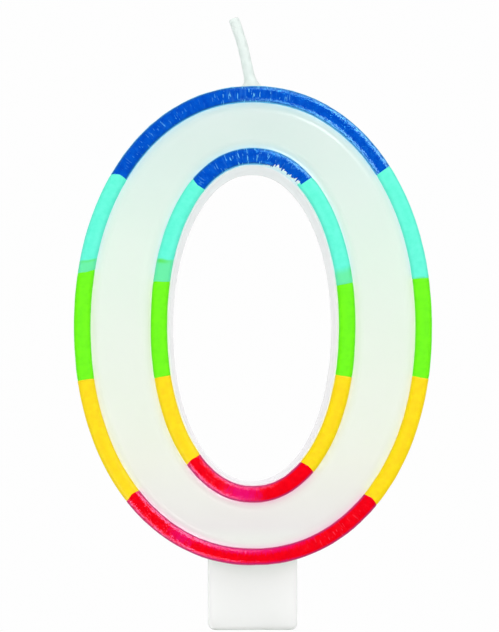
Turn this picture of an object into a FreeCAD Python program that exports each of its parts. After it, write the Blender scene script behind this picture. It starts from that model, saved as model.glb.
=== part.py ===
# A wax birthday candle in the shape of the numeral zero.
#
# The candle is one paraffin casting: an oval ring with a flat back, a pillowed face, two raised
# ridges that follow its outer and inner outlines, and a stub that is pushed into the cake. Each
# ridge carries eight coats of coloured wax paint. A braided wick runs from the stub, up one side
# of the ring and out of its top, where a skin of wax covers it.
#
# Frame: millimetres, +X to the right of the face, -Y out of the face, +Z up. The origin is level
# with the stub's foot, in the middle of the candle's width and depth.

import FreeCAD, Part
import math
import os
import Sketcher

from FreeCAD import Vector

# The driving dimensions in millimetres and degrees, with what each one measures.
DIMENSIONS = {
    # The ring. An oval is four tangent arcs: its half width, half height and end arc radius.
    "centre_height": (40.9, "height of the ring's centre above the stub's foot"),
    "outer_half_width": (24.1, "half width of the ring"),
    "outer_half_height": (32.2, "half height of the ring"),
    "outer_end_radius": (21.3, "radius of the arcs at the ring's top and bottom"),
    "plate_depth": (8.0, "depth of the ring behind its ridges"),
    "half_depth": (4.4, "half the candle's whole depth, ridges included"),
    "back_round": (0.35, "rounding of the back edges"),
    # The hole, measured on the face. Its wall slopes in towards the back, as the mould drafts.
    "lip_width": (0.2, "bare wax between the inner ridge and the hole"),
    "hole_draft": (4.5, "slope of the hole's wall in degrees"),
    # The inner ridge's outer edge.
    "inner_half_width": (13.8, "half width of the inner ridge's outline"),
    "inner_half_height": (23.85, "half height of the inner ridge's outline"),
    "inner_end_radius": (10.95, "radius of the inner ridge's end arcs"),
    # Both ridges: a moulded bead of white wax under a coat of coloured paint.
    "ridge_width": (2.25, "width of a painted ridge"),
    "ridge_height": (0.8, "how far a painted ridge stands above the plate"),
    "ridge_round": (0.7, "shoulder radius of a painted ridge"),
    "coat_thickness": (0.2, "thickness of the paint"),
    "bead_round": (0.5, "shoulder radius of the wax bead under the paint"),
    # The pillowed face between the ridges.
    "pillow_gap": (0.3, "width of the groove beside each ridge"),
    "pillow_height": (0.42, "how far the face stands above the grooves"),
    "pillow_round": (0.4, "rounding of the pillow's edges"),
    # The stub.
    "stub_width": (12.0, "width of the stub"),
    "stub_depth": (5.6, "depth of the stub, flush with the back"),
    "stub_overlap": (3.2, "how far the stub's solid runs up into the ring"),
    "stub_corner": (0.9, "radius of the two bottom corners"),
    "stub_round": (0.5, "rounding of the stub's front edges"),
    # The wick. Its bare end leans to the left above the ring's top.
    "braid_radius": (0.52, "radius of the braided cotton"),
    "skin_thickness": (0.2, "thickness of the wax skin on the bare wick"),
    "wick_place": (0.4, "how far the wick lies behind the middle of the depth"),
    "wick_lean": (14.8, "lean of the bare wick in degrees"),
    "wick_rise": (9.25, "how far the middle of the tip stands above the ring"),
    "wick_end_side": (1.5, "how far the buried end stands right of the middle"),
    "wick_end_height": (4.0, "height of the buried end above the stub's foot"),
    "wick_bend": (5.0, "radius of the bends into and out of the ring"),
    "route_half_width": (17.65, "half width of the wick's route round the ring"),
    "route_half_height": (26.85, "half height of the wick's route"),
    "route_end_radius": (14.5, "radius of the route's end arcs"),
    "collar_radius": (2.1, "foot radius of the wax collar at the wick's exit"),
    "collar_height": (1.0, "height of the wax collar above the ring"),
    "collar_sink": (0.5, "how far the collar and the skin start inside the ring"),
    # The slanted cuts, where dark blue meets turquoise and yellow meets red.
    "top_cut_tilt": (34.0, "tilt of the upper slanted cuts in degrees, rising outwards"),
    "bottom_cut_tilt": (-34.0, "tilt of the lower slanted cuts in degrees"),
    # Where each cut crosses the middle line, measured up from the ring's centre.
    "outer_right_blue": (8.9, "blue to turquoise, outer ridge, right"),
    "outer_right_turquoise": (6.8, "turquoise to green"),
    "outer_right_green": (-7.0, "green to yellow"),
    "outer_right_yellow": (-12.6, "yellow to red"),
    "outer_left_blue": (8.1, "blue to turquoise, outer ridge, left"),
    "outer_left_turquoise": (7.5, "turquoise to green"),
    "outer_left_green": (-7.3, "green to yellow"),
    "outer_left_yellow": (-11.8, "yellow to red"),
    "inner_right_blue": (14.3, "blue to turquoise, inner ridge, right"),
    "inner_right_turquoise": (6.0, "turquoise to green"),
    "inner_right_green": (-6.85, "green to yellow"),
    "inner_right_yellow": (-13.8, "yellow to red"),
    "inner_left_blue": (13.7, "blue to turquoise, inner ridge, left"),
    "inner_left_turquoise": (6.4, "turquoise to green"),
    "inner_left_green": (-6.85, "green to yellow"),
    "inner_left_yellow": (-12.3, "yellow to red"),
    "wedge_reach": (40.0, "how far the cutting wedges reach from the middle line"),
    "wedge_depth": (12.0, "how deep the cutting wedges are, from the back"),
}

SHEET = "Dimensions"
BAND_COLOURS = ("blue", "turquoise", "green", "yellow", "red")
START, END, CENTRE = 1, 2, 3  # the points of a line or an arc in a sketch
ORIGIN = (-1, 1)  # a sketch's own origin, as a curve and a point
HORIZONTAL_AXIS, VERTICAL_AXIS = -1, -2
TOUCH = 1e-3  # lengths closer than this count as equal
SWEEP_TOLERANCE = 0.01  # how far a sweep's volume may be from section times length

doc = FreeCAD.newDocument("numeral_candle")


def make_sheet():
    """Writes the driving dimensions into the document's spreadsheet."""
    sheet = doc.addObject("Spreadsheet::Sheet", SHEET)
    for row, (alias, (value, note)) in enumerate(DIMENSIONS.items(), start=1):
        sheet.set(f"A{row}", note)
        sheet.set(f"B{row}", str(value))
        sheet.setAlias(f"B{row}", alias)
    doc.recompute()


def size(alias):
    """The value of a driving dimension."""
    return DIMENSIONS[alias][0]


def cell(alias):
    """The expression that reads a driving dimension."""
    return f"{SHEET}.{alias}"


def bind(item, **expressions):
    """Binds an object's properties to expressions; a double underscore stands for a dot."""
    for name, expression in expressions.items():
        item.setExpression(name.replace("__", "."), expression)


def make_body(label):
    body = doc.addObject("PartDesign::Body", label)
    body.Label = label
    return body


def attached_sketch(body, name, plane_role):
    """A sketch on one of a body's own origin planes."""
    sketch = body.newObject("Sketcher::SketchObject", name)
    plane = next(f for f in body.Origin.OriginFeatures if f.Role == plane_role)
    sketch.AttachmentSupport = [(plane, "")]
    sketch.MapMode = "FlatFace"
    return sketch


def face_sketch(body, name, depth_expression, height_expression=cell("centre_height")):
    """A sketch facing the front, at a depth along +Y and with its origin at a height."""
    sketch = attached_sketch(body, name, "XZ_Plane")
    bind(
        sketch,
        AttachmentOffset__Base__y=height_expression,
        AttachmentOffset__Base__z=f"-({depth_expression})",
    )
    return sketch


def fix_radius(sketch, curve, expression, value):
    number = sketch.addConstraint(Sketcher.Constraint("Radius", curve, value))
    sketch.setExpression(f"Constraints[{number}]", expression)


def fix_height(sketch, curve, point, expression, value):
    number = sketch.addConstraint(Sketcher.Constraint("DistanceY", *ORIGIN, curve, point, value))
    sketch.setExpression(f"Constraints[{number}]", expression)


def fix_across(sketch, curve, point, expression, value):
    number = sketch.addConstraint(Sketcher.Constraint("DistanceX", *ORIGIN, curve, point, value))
    sketch.setExpression(f"Constraints[{number}]", expression)


class Oval:
    """Four tangent arcs: an outline of the ring, moved in by an inset that is an expression."""

    def __init__(self, outline, inset="0", inset_value=0.0):
        self.outline, self.inset, self.inset_value = outline, inset, inset_value

    def expression(self, measure):
        return f"({cell(f'{self.outline}_{measure}')} - ({self.inset}))"

    def value(self, measure):
        return size(f"{self.outline}_{measure}") - self.inset_value

    def measures(self):
        return tuple(self.value(m) for m in ("half_width", "half_height", "end_radius"))

    def side_expression(self):
        across, up, end = (self.expression(m) for m in ("half_width", "half_height", "end_radius"))
        return f"({across}^2 + ({up} - {end})^2 - {end}^2) / (2 * ({across} - {end}))"

    def draw(self, sketch):
        """Adds the oval to a sketch, centred on the sketch's origin and fully constrained."""
        half_width, half_height, end = self.measures()
        side, rise = side_radius(half_width, half_height, end), half_height - end
        lean = math.atan2(rise, side - half_width)
        turn = math.pi - lean
        arcs = (
            (Vector(half_width - side, 0, 0), side, -lean, lean),
            (Vector(0, rise, 0), end, lean, turn),
            (Vector(side - half_width, 0, 0), side, turn, math.pi + lean),
            (Vector(0, -rise, 0), end, math.pi + lean, 2 * math.pi - lean),
        )
        up = Vector(0, 0, 1)
        right, top, left, bottom = (
            sketch.addGeometry(Part.ArcOfCircle(Part.Circle(centre, up, radius), first, last))
            for centre, radius, first, last in arcs
        )
        for one, other in ((right, top), (top, left), (left, bottom), (bottom, right)):
            sketch.addConstraint(Sketcher.Constraint("Tangent", one, END, other, START))
        for arc in (top, bottom):
            sketch.addConstraint(Sketcher.Constraint("PointOnObject", arc, CENTRE, VERTICAL_AXIS))
        rise_expression = f"{self.expression('half_height')} - {self.expression('end_radius')}"
        fix_height(sketch, top, CENTRE, rise_expression, rise)
        fix_height(sketch, bottom, CENTRE, f"-({rise_expression})", -rise)
        fix_radius(sketch, top, self.expression("end_radius"), end)
        sketch.addConstraint(Sketcher.Constraint("Equal", top, bottom))
        fix_radius(sketch, right, self.side_expression(), side)
        sketch.addConstraint(Sketcher.Constraint("Equal", right, left))


def side_radius(half_width, half_height, end_radius):
    """The radius of the side arcs that meet an oval's end arcs smoothly."""
    rise = half_height - end_radius
    return (half_width**2 + rise**2 - end_radius**2) / (2 * (half_width - end_radius))


def draw_polygon(sketch, corners):
    """Adds a closed polygon. Each corner is (x expression, x, y expression, y)."""
    points = [Vector(x, y, 0) for _, x, _, y in corners]
    lines = [
        sketch.addGeometry(Part.LineSegment(point, points[(i + 1) % len(points)]))
        for i, point in enumerate(points)
    ]
    for i, line in enumerate(lines):
        after = lines[(i + 1) % len(lines)]
        sketch.addConstraint(Sketcher.Constraint("Coincident", line, END, after, START))
    for line, (across, x, upward, y) in zip(lines, corners):
        fix_across(sketch, line, START, across, x)
        fix_height(sketch, line, START, upward, y)


def pad(body, name, sketch, length_expression):
    feature = body.newObject("PartDesign::Pad", name)
    feature.Profile = sketch
    bind(feature, Length=length_expression)
    doc.recompute()
    return feature


def round_edges(body, name, base, radius_alias, wanted):
    """Rounds the edges of the base feature that the test accepts."""
    edges = [f"Edge{i}" for i, edge in enumerate(base.Shape.Edges, start=1) if wanted(edge)]
    if not edges:
        raise RuntimeError(f"{name} found no edges to round")
    feature = body.newObject("PartDesign::Fillet", name)
    feature.Base = (base, edges)
    feature.Radius = size(radius_alias)
    bind(feature, Radius=cell(radius_alias))
    doc.recompute()
    return feature


def lies_in_plane(edge, depth):
    """True if the whole edge lies at one depth along Y."""
    box = edge.BoundBox
    return abs(box.YMin - depth) < TOUCH and abs(box.YMax - depth) < TOUCH


FACE_DEPTH = f"{cell('half_depth')} - {cell('plate_depth')}"
BACK_DEPTH = cell("half_depth")


def ring_band(body, name, outer, inner, height_expression):
    """Pads the band between two ovals forwards from the plate's face."""
    sketch = face_sketch(body, f"{name}_sketch", FACE_DEPTH)
    outer.draw(sketch)
    inner.draw(sketch)
    return pad(body, name, sketch, height_expression)


def inset_oval(outline, *terms):
    """An oval moved in by a sum of driving dimensions, each alias with a factor."""
    expression = " + ".join(f"{factor} * {cell(alias)}" for factor, alias in terms)
    return Oval(outline, expression, sum(factor * size(alias) for factor, alias in terms))


def make_casting():
    """The wax casting: ring, hole, stub, pillowed face and the beads under the paint."""
    body = make_body("casting_blank")
    add_ring(body)
    add_stub(body)
    add_pillow(body)
    add_beads(body)
    return body


def add_ring(body):
    """The oval ring, with its tapering hole and rounded back edges."""
    outline = face_sketch(body, "ring_outline", BACK_DEPTH)
    Oval("outer").draw(outline)
    ring = pad(body, "ring", outline, cell("plate_depth"))

    hole_sketch = face_sketch(body, "hole_sketch", FACE_DEPTH)
    inset_oval("inner", (1, "ridge_width"), (1, "lip_width")).draw(hole_sketch)
    hole = body.newObject("PartDesign::Pocket", "hole")
    hole.Profile = hole_sketch
    bind(hole, Length=cell("plate_depth"), TaperAngle=f"-{cell('hole_draft')}")
    doc.recompute()
    if hole.Shape.Volume >= ring.Shape.Volume:
        raise RuntimeError("the hole cut nothing")

    back = size("half_depth")
    round_edges(body, "back_edges", hole, "back_round", lambda edge: lies_in_plane(edge, back))


def add_stub(body):
    """The stub below the ring, flush with its back, with rounded corners and front edges."""
    half, half_width = f"{cell('stub_width')} / 2", size("stub_width") / 2
    top = size("centre_height") - size("outer_half_height") + size("stub_overlap")
    top_cell = f"{cell('centre_height')} - {cell('outer_half_height')} + {cell('stub_overlap')}"
    sketch = face_sketch(body, "stub_sketch", BACK_DEPTH, "0")
    draw_polygon(
        sketch,
        [
            (f"-{half}", -half_width, "0", 0.0),
            (half, half_width, "0", 0.0),
            (half, half_width, top_cell, top),
            (f"-{half}", -half_width, top_cell, top),
        ],
    )
    stub = pad(body, "stub", sketch, cell("stub_depth"))
    corners = round_edges(
        body, "stub_corners", stub, "stub_corner", lambda edge: is_stub_corner(edge, half_width)
    )
    front = size("half_depth") - size("stub_depth")
    round_edges(
        body, "stub_front", corners, "stub_round", lambda edge: lies_in_plane(edge, front)
    )


def add_pillow(body):
    """The face between the ridges, which stands above a groove beside each of them."""
    pillow = ring_band(
        body,
        "pillow",
        inset_oval("outer", (1, "ridge_width"), (1, "pillow_gap")),
        inset_oval("inner", (-1, "pillow_gap")),
        cell("pillow_height"),
    )
    top = size("half_depth") - size("plate_depth") - size("pillow_height")
    round_edges(body, "pillow_edges", pillow, "pillow_round", lambda edge: lies_in_plane(edge, top))


def add_beads(body):
    """The two beads of white wax that carry the paint."""
    height = f"{cell('ridge_height')} - {cell('coat_thickness')}"
    for outline in ("outer", "inner"):
        bead = ring_band(
            body,
            f"{outline}_bead",
            inset_oval(outline, (1, "coat_thickness")),
            inset_oval(outline, (1, "ridge_width"), (-1, "coat_thickness")),
            height,
        )
    top = size("coat_thickness") - size("half_depth")
    round_edges(body, "bead_shoulders", bead, "bead_round", lambda edge: lies_in_plane(edge, top))


def is_stub_corner(edge, half_width):
    """True for the two edges along the depth at the stub's bottom corners."""
    box = edge.BoundBox
    along_depth = box.YLength > TOUCH and box.XLength < TOUCH and box.ZLength < TOUCH
    return along_depth and abs(box.ZMin) < TOUCH and abs(abs(box.XMin) - half_width) < TOUCH


def turned(degrees, length=1.0):
    """A vector of some length at an angle in degrees, in a sketch."""
    angle = math.radians(degrees)
    return Vector(math.cos(angle), math.sin(angle), 0) * length


def bearing(origin, target):
    """The angle in degrees from one sketch point to another."""
    way = target - origin
    return math.degrees(math.atan2(way.y, way.x))


def bend_centre(point, direction, hub, side):
    """Centre of the bend between a straight run and an end arc of the wick's route.

    The bend touches the run, which passes through the point in the direction, on the side given
    as 1 for right or -1 for left. It touches the end arc, centred at the hub, from outside.
    """
    bend = size("wick_bend")
    reach = size("route_end_radius") + bend
    start = point + Vector(direction.y, -direction.x, 0) * side * bend - hub
    along = start.dot(direction)
    travel = math.sqrt(along**2 - start.dot(start) + reach**2) - along
    return hub + start + direction * travel


def draw_route(sketch):
    """The wick's centre line: up out of the stub, round the ring's right side and out of its top.

    It is a straight run, five tangent arcs and another straight run.
    """
    oval = Oval("route")
    half_width, half_height, end = oval.measures()
    side, rise = side_radius(half_width, half_height, end), half_height - end
    lean = math.degrees(math.atan2(rise, side - half_width))
    bend, wick_lean = size("wick_bend"), size("wick_lean")
    top_hub, bottom_hub = Vector(0, rise, 0), Vector(0, -rise, 0)
    upward, downward = turned(90 + wick_lean), Vector(0, -1, 0)

    exit_height = size("outer_half_height")
    tip = Vector(0, exit_height, 0) + upward * (size("wick_rise") / upward.y)
    buried = Vector(size("wick_end_side"), size("wick_end_height") - size("centre_height"), 0)
    top_bend = bend_centre(tip, upward, top_hub, 1)
    bottom_bend = bend_centre(buried, downward, bottom_hub, -1)
    top_join, bottom_join = bearing(top_hub, top_bend), bearing(bottom_hub, bottom_bend)

    def arc(centre, radius, first, last):
        circle = Part.Circle(centre, Vector(0, 0, 1), radius)
        ends = (math.radians(first), math.radians(last))
        return sketch.addGeometry(Part.ArcOfCircle(circle, *ends))

    def line(first, last):
        return sketch.addGeometry(Part.LineSegment(first, last))

    stub_run = line(buried, bottom_bend + turned(180, bend))
    stub_bend = arc(bottom_bend, bend, bottom_join + 180, 180)
    bottom_arc = arc(bottom_hub, end, bottom_join, -lean)
    side_arc = arc(Vector(half_width - side, 0, 0), side, -lean, lean)
    top_arc = arc(top_hub, end, lean, top_join)
    exit_bend = arc(top_bend, bend, 180 + wick_lean, top_join + 180)
    bare_run = line(top_bend + turned(180 + wick_lean, bend), tip)
    joints = (
        (stub_run, END, stub_bend, END),
        (stub_bend, START, bottom_arc, START),
        (bottom_arc, END, side_arc, START),
        (side_arc, END, top_arc, START),
        (top_arc, END, exit_bend, END),
        (exit_bend, START, bare_run, START),
    )
    for joint in joints:
        sketch.addConstraint(Sketcher.Constraint("Tangent", *joint))

    sketch.addConstraint(Sketcher.Constraint("Vertical", stub_run))
    sketch.addConstraint(Sketcher.Constraint("PointOnObject", bottom_arc, CENTRE, VERTICAL_AXIS))
    sketch.addConstraint(Sketcher.Constraint("PointOnObject", side_arc, CENTRE, HORIZONTAL_AXIS))
    sketch.addConstraint(Sketcher.Constraint("PointOnObject", top_arc, CENTRE, VERTICAL_AXIS))
    fix_radius(sketch, side_arc, oval.side_expression(), side)
    fix_radius(sketch, bottom_arc, cell("route_end_radius"), end)
    sketch.addConstraint(Sketcher.Constraint("Equal", bottom_arc, top_arc))
    fix_radius(sketch, stub_bend, cell("wick_bend"), bend)
    sketch.addConstraint(Sketcher.Constraint("Equal", stub_bend, exit_bend))
    fix_across(sketch, stub_run, START, cell("wick_end_side"), buried.x)
    buried_height = f"{cell('wick_end_height')} - {cell('centre_height')}"
    fix_height(sketch, stub_run, START, buried_height, buried.y)
    tip_across = f"-{cell('wick_rise')} * tan({cell('wick_lean')} * 1deg)"
    fix_across(sketch, bare_run, END, tip_across, tip.x)
    tip_height = f"{cell('outer_half_height')} + {cell('wick_rise')}"
    fix_height(sketch, bare_run, END, tip_height, tip.y)
    angle = sketch.addConstraint(
        Sketcher.Constraint("Angle", bare_run, math.radians(90 + wick_lean))
    )
    sketch.setExpression(f"Constraints[{angle}]", f"(90 + {cell('wick_lean')}) * 1deg")


def make_braid():
    """The braided cotton, whole, from its end in the stub to its tip."""
    body = make_body("wick_braid")
    route = face_sketch(body, "wick_route", cell("wick_place"))
    draw_route(route)

    section = attached_sketch(body, "wick_section", "XY_Plane")
    bind(
        section,
        AttachmentOffset__Base__x=cell("wick_end_side"),
        AttachmentOffset__Base__y=cell("wick_place"),
        AttachmentOffset__Base__z=cell("wick_end_height"),
    )
    radius = size("braid_radius")
    circle = section.addGeometry(Part.Circle(Vector(0, 0, 0), Vector(0, 0, 1), radius))
    section.addConstraint(Sketcher.Constraint("Coincident", circle, CENTRE, *ORIGIN))
    fix_radius(section, circle, cell("braid_radius"), radius)
    doc.recompute()

    sweep = body.newObject("PartDesign::AdditivePipe", "wick_sweep")
    sweep.Profile = section
    sweep.Spine = (route, [f"Edge{i}" for i in range(1, len(route.Shape.Edges) + 1)])
    doc.recompute()
    expected = math.pi * radius**2 * route.Shape.Length
    if abs(sweep.Shape.Volume / expected - 1) > SWEEP_TOLERANCE:
        raise RuntimeError("the wick's volume isn't its section times its length")
    return body


def lean_with_wick(item):
    """Places a primitive on the bare wick's centre line, with its foot just inside the ring."""
    item.Placement.Rotation.Axis = Vector(0, 1, 0)
    bind(
        item,
        Placement__Base__x=f"{cell('collar_sink')} * tan({cell('wick_lean')} * 1deg)",
        Placement__Base__y=cell("wick_place"),
        Placement__Base__z=(
            f"{cell('centre_height')} + {cell('outer_half_height')} - {cell('collar_sink')}"
        ),
        Placement__Rotation__Angle=f"-{cell('wick_lean')} * 1deg",
    )


def make_skin(casting_blank, braid):
    """The skin of wax on the bare wick, which flares into a collar on the ring."""
    skin_radius = f"{cell('braid_radius')} + {cell('skin_thickness')}"
    sleeve = doc.addObject("Part::Cylinder", "skin_sleeve")
    length = f"({cell('wick_rise')} + {cell('collar_sink')}) / cos({cell('wick_lean')} * 1deg)"
    bind(sleeve, Radius=skin_radius, Height=length)
    collar = doc.addObject("Part::Cone", "skin_collar")
    bind(
        collar,
        Radius1=cell("collar_radius"),
        Radius2=skin_radius,
        Height=f"{cell('collar_height')} + {cell('collar_sink')}",
    )
    for item in (sleeve, collar):
        lean_with_wick(item)
    whole = boolean("Fuse", "skin_and_collar", sleeve, collar)
    above_ring = boolean("Cut", "skin_above_ring", whole, casting_blank)
    return boolean("Cut", "wick_wax_skin", above_ring, braid)


def boolean(kind, label, base, tool):
    """A boolean of two objects: Cut, Fuse or Common."""
    item = doc.addObject(f"Part::{kind}", label)
    item.Label = label
    item.Base, item.Tool = base, tool
    doc.recompute()
    return item


def make_jacket(outline, casting):
    """The whole paint ring of one ridge, before it is divided by colour."""
    body = make_body(f"{outline}_jacket")
    band = ring_band(
        body,
        f"{outline}_jacket_band",
        Oval(outline),
        inset_oval(outline, (1, "ridge_width")),
        cell("ridge_height"),
    )
    top = -size("half_depth")
    round_edges(
        body, f"{outline}_shoulders", band, "ridge_round", lambda edge: lies_in_plane(edge, top)
    )
    return boolean("Cut", f"{outline}_paint_ring", body, casting)


def cut_line(ridge, side, colour):
    """Where a colour's lower cut crosses the middle line, and its tilt, as aliases."""
    tilt = {"blue": "top_cut_tilt", "yellow": "bottom_cut_tilt"}.get(colour)
    return f"{ridge}_{side}_{colour}", tilt


def cut_corners(line, sign):
    """The two corners of a cutting wedge on one cut: on the middle line and far outside."""
    height_alias, tilt_alias = line
    height, reach = size(height_alias), size("wedge_reach")
    far, far_expression = height, cell(height_alias)
    if tilt_alias:
        far += reach * math.tan(math.radians(size(tilt_alias)))
        far_expression += f" + {cell('wedge_reach')} * tan({cell(tilt_alias)} * 1deg)"
    near_corner = ("0", 0.0, cell(height_alias), height)
    far_corner = (f"{sign} * {cell('wedge_reach')}", sign * reach, far_expression, far)
    return near_corner, far_corner


def end_wedge(ridge, colour, end_sign):
    """Corners of the wedge that holds the top or bottom band, which spans both sides."""
    right_near, right_far = cut_corners(cut_line(ridge, "right", colour), 1)
    left_near, left_far = cut_corners(cut_line(ridge, "left", colour), -1)
    reach = size("wedge_reach")
    beyond = f"{end_sign * 2} * {cell('wedge_reach')}"
    outside = [
        (f"{sign} * {cell('wedge_reach')}", sign * reach, beyond, end_sign * 2 * reach)
        for sign in (1, -1)
    ]
    return [right_near, right_far, outside[0], outside[1], left_far, left_near]


def side_wedge(ridge, side, upper_colour, lower_colour):
    """Corners of the wedge that holds one band on one side."""
    sign = 1 if side == "right" else -1
    upper_near, upper_far = cut_corners(cut_line(ridge, side, upper_colour), sign)
    lower_near, lower_far = cut_corners(cut_line(ridge, side, lower_colour), sign)
    return [lower_near, lower_far, upper_far, upper_near]


def make_coat(label, ring, corners):
    """One colour's coat: the part of a paint ring inside a cutting wedge."""
    wedge = make_body(f"{label}_wedge")
    sketch = face_sketch(wedge, f"{label}_wedge_sketch", BACK_DEPTH)
    draw_polygon(sketch, corners)
    pad(wedge, f"{label}_wedge_pad", sketch, cell("wedge_depth"))
    return boolean("Common", label, ring, wedge)


def make_coats(casting):
    """The sixteen coats: top and bottom bands, and three bands down each side, on each ridge."""
    coats = []
    for ridge in ("outer", "inner"):
        ring = make_jacket(ridge, casting)
        coats.append(make_coat(f"{ridge}_blue_coat", ring, end_wedge(ridge, "blue", 1)))
        coats.append(make_coat(f"{ridge}_red_coat", ring, end_wedge(ridge, "yellow", -1)))
        for side in ("left", "right"):
            for upper, colour in zip(BAND_COLOURS[:3], BAND_COLOURS[1:4]):
                corners = side_wedge(ridge, side, upper, colour)
                coats.append(make_coat(f"{ridge}_{side}_{colour}_coat", ring, corners))
    return coats


def write_parts(parts):
    """Checks the document and every sub-part, then writes one STEP file for each sub-part."""
    doc.recompute()
    for item in doc.Objects:
        if {"Invalid", "Error"} & set(item.State):
            raise RuntimeError(f"{item.Label} failed: {item.State}")
    os.makedirs("parts", exist_ok=True)
    for part in parts:
        shape = part.Shape
        if shape.isNull() or not shape.isValid() or not shape.Solids:
            raise RuntimeError(f"{part.Label} has no valid solid")
        print(f"{part.Label}: {len(shape.Solids)} solid, {shape.Volume:.3f} mm3")
        shape.exportStep(os.path.join("parts", f"{part.Label}.step"))


def main():
    make_sheet()
    blank = make_casting()
    braid = make_braid()
    skin = make_skin(blank, braid)
    casting = boolean("Cut", "numeral_body", blank, braid)
    write_parts([casting, braid, skin, *make_coats(casting)])


main()
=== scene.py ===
import math

import bpy
import numpy as np
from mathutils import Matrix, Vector, noise


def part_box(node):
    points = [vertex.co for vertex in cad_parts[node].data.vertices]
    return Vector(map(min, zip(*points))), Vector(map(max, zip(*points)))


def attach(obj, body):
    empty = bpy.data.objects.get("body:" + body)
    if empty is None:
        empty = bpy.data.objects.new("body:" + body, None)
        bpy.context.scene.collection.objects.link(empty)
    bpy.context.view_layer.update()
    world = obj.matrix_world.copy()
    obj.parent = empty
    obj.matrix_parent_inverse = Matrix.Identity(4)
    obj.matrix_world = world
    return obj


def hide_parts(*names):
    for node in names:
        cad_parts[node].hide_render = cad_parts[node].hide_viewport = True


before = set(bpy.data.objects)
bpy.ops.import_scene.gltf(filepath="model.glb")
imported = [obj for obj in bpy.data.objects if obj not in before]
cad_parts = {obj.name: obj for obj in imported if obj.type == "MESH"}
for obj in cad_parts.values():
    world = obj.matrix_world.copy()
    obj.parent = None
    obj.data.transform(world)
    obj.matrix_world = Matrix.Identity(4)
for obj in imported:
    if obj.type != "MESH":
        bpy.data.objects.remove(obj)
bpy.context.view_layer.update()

# A wax birthday candle in the shape of the numeral zero: one white casting, sixteen coats of
# coloured wax paint on its two ridges, and a braided wick in a skin of wax.
# +X is to the right of the face, -Y comes out of the face, +Z is up. Lengths are in metres.
MM = 0.001
ROOT = "root"

# ---------------- sizes read from the frame


def corners(node):
    """The lowest and highest corner of a CAD node."""
    low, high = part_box(node)
    return Vector(low), Vector(high)


class Outline:
    """A superellipse about the ring's centre: the outer edge of a ridge.

    An angle of 0 is at the right and 90 degrees is at the top.
    """

    def __init__(self, half_width, half_height):
        self.half_width, self.half_height = half_width, half_height

    def points(self, angle, inset=0.0):
        """X and Z at the angles in radians, moved in along the normals by the inset."""
        cos, sin = np.cos(angle), np.sin(angle)
        x = self.half_width * np.sign(cos) * np.abs(cos) ** (2 / POWER)
        z = self.half_height * np.sign(sin) * np.abs(sin) ** (2 / POWER)
        across = np.sign(cos) * np.abs(x / self.half_width) ** (POWER - 1) / self.half_width
        up = np.sign(sin) * np.abs(z / self.half_height) ** (POWER - 1) / self.half_height
        length = np.hypot(across, up)
        x, z = x - inset * across / length, z - inset * up / length
        return x * (1 - NARROW - EGG * z / OUTER_HALF_HEIGHT), z + CENTRE_Z

    def angle_at(self, height, side):
        """The angle on one side where the outline is at a height above the stub's foot."""
        ratio = np.clip((height - CENTRE_Z) / self.half_height, -1.0, 1.0)
        angle = math.asin(math.copysign(abs(ratio) ** (POWER / 2), ratio))
        return angle if side == "right" else math.pi - angle

    def travel(self, angle):
        """Metres along the outline for each radian at the angle."""
        step = 1e-3
        x0, z0 = self.points(angle - step)
        x1, z1 = self.points(angle + step)
        return np.hypot(x1 - x0, z1 - z0) / (2 * step)


BODY_HIGH = corners("numeral_body")[1]
BLUE_LOW, BLUE_HIGH = corners("outer_blue_coat")
RING_TOP = BLUE_HIGH.z
RING_FOOT = corners("outer_red_coat")[0].z
CENTRE_Z = (RING_TOP + RING_FOOT) / 2
PLATE_Y = BLUE_HIGH.y
BACK_Y = BODY_HIGH.y
RIDGE_HEIGHT = PLATE_Y - BLUE_LOW.y
# The cast ring is a little narrower than the CAD's, and more so towards its top.
OUTER_HALF_HEIGHT = RING_TOP - CENTRE_Z
NARROW = 0.003
EGG = 0.006
RIDGE_WIDTH = 2.25 * MM
# The foot of a ridge goes this far into the face.
SUNK = 0.05 * MM
POWER = 2.1
OUTER = Outline(BODY_HIGH.x, OUTER_HALF_HEIGHT)
INNER_TOP = corners("inner_blue_coat")[1].z
INNER = Outline(-corners("inner_left_green_coat")[0].x, INNER_TOP - CENTRE_Z)
RIDGES = {"outer": OUTER, "inner": INNER}

# ---------------- mesh helpers


def to_linear(red, green, blue):
    """A colour from its 0 to 255 values."""
    values = (c / 255 for c in (red, green, blue))
    return tuple(c / 12.92 if c <= 0.04045 else ((c + 0.055) / 1.055) ** 2.4 for c in values)


def mesh_object(name, vertices, faces):
    """A smooth-shaded object, linked to the scene."""
    mesh = bpy.data.meshes.new(name)
    mesh.from_pydata([tuple(v) for v in vertices], [], [tuple(f) for f in faces])
    mesh.validate()
    mesh.polygons.foreach_set("use_smooth", [True] * len(mesh.polygons))
    mesh.update()
    item = bpy.data.objects.new(name, mesh)
    bpy.context.scene.collection.objects.link(item)
    return item


def set_attribute(item, name, values, kind="FLOAT", field="value"):
    """Stores a number or a colour for each vertex, for the materials to read."""
    layer = item.data.attributes.new(name, kind, "POINT")
    layer.data.foreach_set(field, np.asarray(values, dtype=np.float32).reshape(-1))


def grid_faces(rows, columns, close_rows=False, close_columns=False, start=0):
    """Quads of a grid whose vertices are numbered row by row."""
    faces = []
    for i in range(rows if close_rows else rows - 1):
        here, below = start + i * columns, start + (i + 1) % rows * columns
        for j in range(columns if close_columns else columns - 1):
            beside = (j + 1) % columns
            faces.append((here + j, here + beside, below + beside, below + j))
    return faces


def ripple(point, size, seed):
    """Smooth noise from -1 to 1 at a point, with bumps of about the size."""
    return noise.noise(Vector(point) / size + Vector((seed * 7.3, seed * 3.1, seed * 5.7)))


def smooth(value):
    """A smooth step from 0 to 1."""
    value = np.clip(value, 0.0, 1.0)
    return value * value * (3 - 2 * value)


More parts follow.
